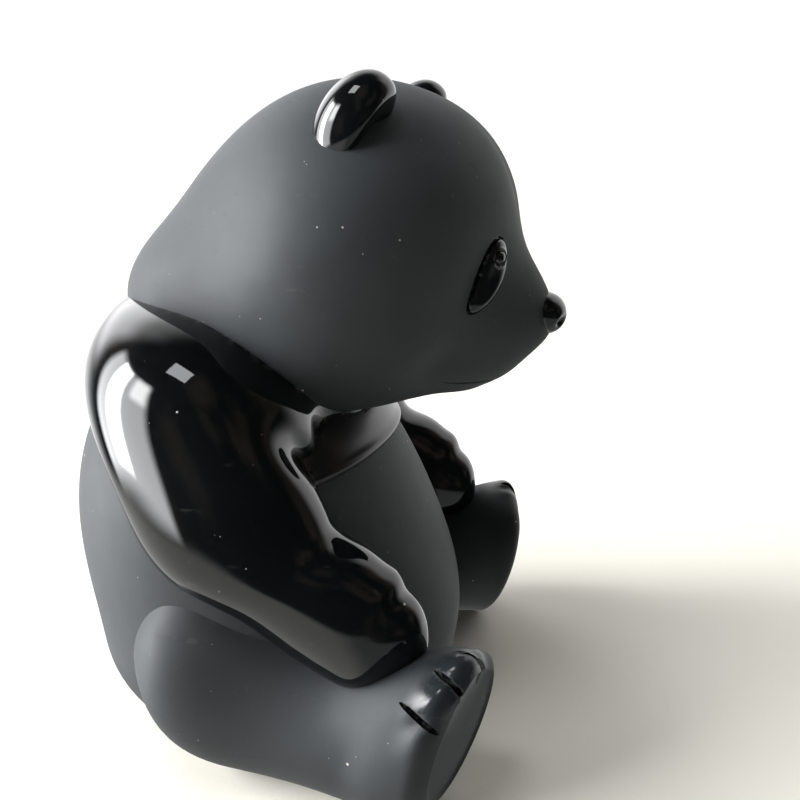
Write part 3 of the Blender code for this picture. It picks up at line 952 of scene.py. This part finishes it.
class PANDA_OT_polished_forms(bpy.types.Operator):
    """Shape the mantle with both arms, the ears, the nose and the eye patches"""

    bl_idname = "panda.polished_forms"
    bl_label = "Polished forms"

    def execute(self, context):
        sizes = context.scene.panda_sizes
        forms = collection_named(FORMS)
        ease = HAND_ROUNDING * np.sin(np.linspace(0, math.pi / 2, PAW_RINGS))[:-1]
        half = np.concatenate([np.linspace(0, 1 - HAND_ROUNDING, ARM_RINGS)[:-1], 1 - HAND_ROUNDING + ease])
        run = np.concatenate([-half[:0:-1], half])
        angles = full_turn(MANTLE_SIDES)
        in_front = np.exp(-((wrapped(np.degrees(angles)) / CHEST_SPREAD) ** 4))
        chest = -np.exp(-((run / CHEST_RUN) ** 4))[:, None] * in_front
        skin("mantle", to_world(mantle_rings(run, angles)), POLISHED, forms, polish=chest)
        collar = to_world(collar_rings(full_turn(COLLAR_SIDES)))
        skin("collar", collar, POLISHED, forms, polish=COLLAR_POLISH, closed=True)
        skin("nose", to_world(nose_rings()), POLISHED, forms)
        for side, side_name in SIDES:
            skin(f"{side_name}_ear", to_world(ear_rings(side, sizes.ear_dish)), POLISHED, forms)
            patch = to_world(eye_patch_rings(side, sizes.eye_patch_raise))
            skin(f"{side_name}_eye_patch", patch, POLISHED, forms)
        return {"FINISHED"}


class PANDA_OT_join_and_carve(bpy.types.Operator):
    """Join the forms into one piece, cut its underside flat and carve its grooves"""

    bl_idname = "panda.join_and_carve"
    bl_label = "Join and carve"

    def execute(self, context):
        sizes = context.scene.panda_sizes
        body = bpy.data.objects.get("panda")
        if body is None:
            raise RuntimeError("the forms are made first")
        cutters = collection_named(CUTTERS)
        for side, side_name in SIDES:
            for i, stops in enumerate(CLAW_GROOVES):
                run, turn = between(stops, CLAW_RINGS).T
                points, outward = leg_points(side, run, np.radians(turn))
                rings = groove_rings(points, outward, sizes.claw_groove_width, sizes.claw_groove_depth)
                skin(f"{side_name}_claw_{i + 1}", rings, POLISHED, cutters)
            out, up, _, _ = patch_place(PATCH_GROOVE_SHARE, full_turn(PATCH_GROOVE_RINGS))
            direction = face_direction(out, up)
            points, outward = head_surface(direction) * (side, 1, 1), direction * (side, 1, 1)
            width = sizes.seam_groove_width
            rings = groove_rings(points, outward, width, width * PATCH_GROOVE_DEPTH, closed=True)
            skin(f"{side_name}_patch_groove", rings, POLISHED, cutters, closed=True)
        half = np.array(MOUTH_LINE, float)
        out, up = between(np.concatenate([half[:0:-1] * (-1, 1), half]), MOUTH_RINGS).T
        direction = face_direction(out, up)
        width = sizes.mouth_groove_width
        rings = groove_rings(head_surface(direction), direction, width, width * MOUTH_GROOVE_DEPTH)
        skin("mouth", rings, FROSTED, cutters)
        corner = np.array([(-1, -1), (1, -1), (1, 1), (-1, 1)]) * UNIT
        levels = np.array([-UNIT, 0.0])
        block = np.stack([np.column_stack([corner, np.full(4, level)]) for level in levels])
        skin("floor_block", block, FROSTED, cutters)
        boolean(body, "UNION", collection_named(FORMS))
        boolean(body, "DIFFERENCE", cutters)
        clear_forms()
        body.data.name = "panda"
        body.data.shade_smooth()
        body.data.set_sharp_from_angle(angle=math.radians(CREASE_ANGLE))
        mark_rims(body.data, RIM_ROUNDS)
        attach(body, "root")
        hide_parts("panda_carving")
        return {"FINISHED"}


def sky_direction(azimuth, elevation):
    """The world direction at this angle round from -Y towards +X, and this angle above the horizon."""
    turn, lift = math.radians(azimuth), math.radians(elevation)
    return Vector((math.sin(turn) * math.cos(lift), -math.cos(turn) * math.cos(lift), math.sin(lift)))


def make_lamp():
    """The rectangular soft light overhead, turned to its aim."""
    aim = Vector(to_world(LAMP_AIM))
    data = bpy.data.lights.new("overhead", "AREA")
    data.shape = "RECTANGLE"
    data.size, data.size_y = LAMP_SIZE
    data.energy = LAMP_STRENGTH * math.pi * LAMP_SIZE[0] * LAMP_SIZE[1]
    data.color = LAMP_COLOUR
    made = bpy.data.objects.new("overhead", data)
    made.location = aim + sky_direction(*LAMP_DIRECTION) * LAMP_DISTANCE
    made.rotation_euler = (made.location - aim).to_track_quat("Z", "Y").to_euler()
    bpy.context.scene.collection.objects.link(made)


def soft_area(way, azimuth, elevation, half_wide, half_tall, edge):
    """1 inside a soft-edged rectangle of the sky, in angles round and up from its middle, and 0 outside."""
    across = way.dot(sky_direction(azimuth + 90, 0)).math("ARCTAN2", way.dot(sky_direction(azimuth, 0)))
    up = way.dot((0, 0, 1)).math("ARCSINE") - math.radians(elevation)
    inside = 1.0
    for off, half in ((across, half_wide), (up, half_tall)):
        off = off.math("ABSOLUTE")
        inside = off.ramp(math.radians(half + edge), math.radians(half - edge)) * inside
    return inside


def make_world():
    """A dim studio with a tall soft light beyond the panda's back and paler ones beside it.

    The camera sees one pale backdrop, and the mirrored floor is painted below, so that it stays even.
    """
    world = bpy.data.worlds.new("studio")
    bpy.context.scene.world = world
    world.use_nodes = True
    tree = world.node_tree
    start = Signal(tree)
    way = start.make("ShaderNodeTexCoord", {}, {}, "Generated")
    cloud = way.noise(STUDIO_CLOUD_SCALE, 2)
    light = mixed_colour(cloud.ramp(0.42, 0.68), (*STUDIO_DIM, 1), (*STUDIO_WARM, 1))
    down = way.dot((0, 0, 1)).math("ARCSINE")
    low, high = (math.radians(MIRRORED_FLOOR_START + step * MIRRORED_FLOOR_EDGE) for step in (-1, 1))
    shaded = way.dot(sky_direction(0, 0)).ramp(*MIRRORED_SHADE_FORWARD)
    mirrored = mixed_colour(shaded, (*MIRRORED_FLOOR, 1), (*MIRRORED_SHADE, 1))
    light = mixed_colour(down.ramp(high, low), light, mirrored)
    for azimuth, elevation, half_wide, half_tall, edge, radiance in STUDIO_AREAS:
        inside = soft_area(way, azimuth, elevation, half_wide, half_tall, edge)
        light = mixed_colour(inside, light, (*radiance, 1))
    seen = start.make("ShaderNodeLightPath", {}, {}, "Is Camera Ray")
    back = tree.nodes["Background"]
    tree.links.new(mixed_colour(seen, light, (*BACKDROP, 1)).socket, back.inputs["Color"])


def make_floor(colour):
    """A wide round sheet of pale paper: rings of points round the origin, closed at its middle."""
    inmost, near, far = FLOOR_RADII
    radius = np.concatenate([[inmost], np.geomspace(near, far, FLOOR_RINGS)])
    turn = full_turn(FLOOR_SIDES)
    x, y = radius[:, None] * np.cos(turn), radius[:, None] * np.sin(turn)
    rings = np.stack([x, y, 0 * x], axis=-1)
    quads, fans = skin_faces(len(radius), len(turn), False)
    points = np.concatenate([rings.reshape(-1, 3), [(0, 0, 0)]])
    mesh = bpy.data.meshes.new("floor")
    mesh.from_pydata(points.tolist(), [], quads[:, ::-1].tolist() + fans[: len(turn), ::-1].tolist())
    material = bpy.data.materials.new("floor_paper")
    material.use_nodes = True
    tree = material.node_tree
    shader = tree.nodes["Principled BSDF"]
    start = Signal(tree)
    place = start.make("ShaderNodeTexCoord", {}, {}, "Object")
    cloud = place.noise(FLOOR_CLOUD_SCALE, 3)
    fibre = place.noise(FLOOR_FIBRE_SCALE, 3)
    paper = mixed_colour(cloud.ramp(0.3, 0.7), (*colour, 1), (*(np.array(colour) * 0.97), 1))
    tree.links.new(paper.socket, shader.inputs["Base Color"])
    lowest, reach = FLOOR_ROUGHNESS
    tree.links.new((lowest + fibre * reach).socket, shader.inputs["Roughness"])
    bump = start.make("ShaderNodeBump", {}, {"Height": fibre * FLOOR_FIBRE_HEIGHT, "Distance": 1.0})
    tree.links.new(bump.socket, shader.inputs["Normal"])
    shader.inputs["Specular IOR Level"].default_value = 0.2
    mesh.materials.append(material)
    mesh.shade_smooth()
    made = bpy.data.objects.new("floor", mesh)
    made.visible_glossy = False
    bpy.context.scene.collection.objects.link(made)


class PANDA_OT_stage(bpy.types.Operator):
    """Lay the floor, light it softly and place the camera"""

    bl_idname = "panda.stage"
    bl_label = "Stage"

    def execute(self, context):
        make_floor(context.scene.panda_colours.floor)
        make_world()
        make_lamp()
        data = bpy.data.cameras.new("camera")
        data.sensor_width = CAMERA_SENSOR
        data.lens = CAMERA_LENS
        data.clip_start = CAMERA_NEAR
        data.dof.use_dof = False
        camera = bpy.data.objects.new("camera", data)
        back = sky_direction(CAMERA_AZIMUTH, CAMERA_ELEVATION)
        camera.location = Vector(to_world(CAMERA_AIM)) + back * CAMERA_DISTANCE * UNIT
        camera.rotation_euler = back.to_track_quat("Z", "Y").to_euler()
        context.scene.collection.objects.link(camera)
        context.scene.camera = camera
        context.scene.view_settings.view_transform = "Standard"
        return {"FINISHED"}


class PANDA_PT_panel(bpy.types.Panel):
    """Lists the steps and the sizes of the carving"""

    bl_idname = "PANDA_PT_panel"
    bl_label = "Panda carving"
    bl_space_type = "VIEW_3D"
    bl_region_type = "UI"
    bl_category = "Panda"

    def draw(self, context):
        for group in (context.scene.panda_sizes, context.scene.panda_colours):
            for name in group.__annotations__:
                self.layout.prop(group, name)
        for step in STEPS:
            self.layout.operator(step.bl_idname)


STEPS = (PANDA_OT_frosted_forms, PANDA_OT_polished_forms, PANDA_OT_join_and_carve, PANDA_OT_stage)
CLASSES = (PandaSizes, PandaColours, *STEPS, PANDA_PT_panel)


def register():
    for item in CLASSES:
        bpy.utils.register_class(item)
    bpy.types.Scene.panda_sizes = bpy.props.PointerProperty(type=PandaSizes)
    bpy.types.Scene.panda_colours = bpy.props.PointerProperty(type=PandaColours)


def unregister():
    del bpy.types.Scene.panda_colours
    del bpy.types.Scene.panda_sizes
    for item in reversed(CLASSES):
        bpy.utils.unregister_class(item)


def main():
    register()
    bpy.ops.panda.frosted_forms()
    bpy.ops.panda.polished_forms()
    bpy.ops.panda.join_and_carve()
    bpy.ops.panda.stage()


if __name__ == "__main__":
    main()
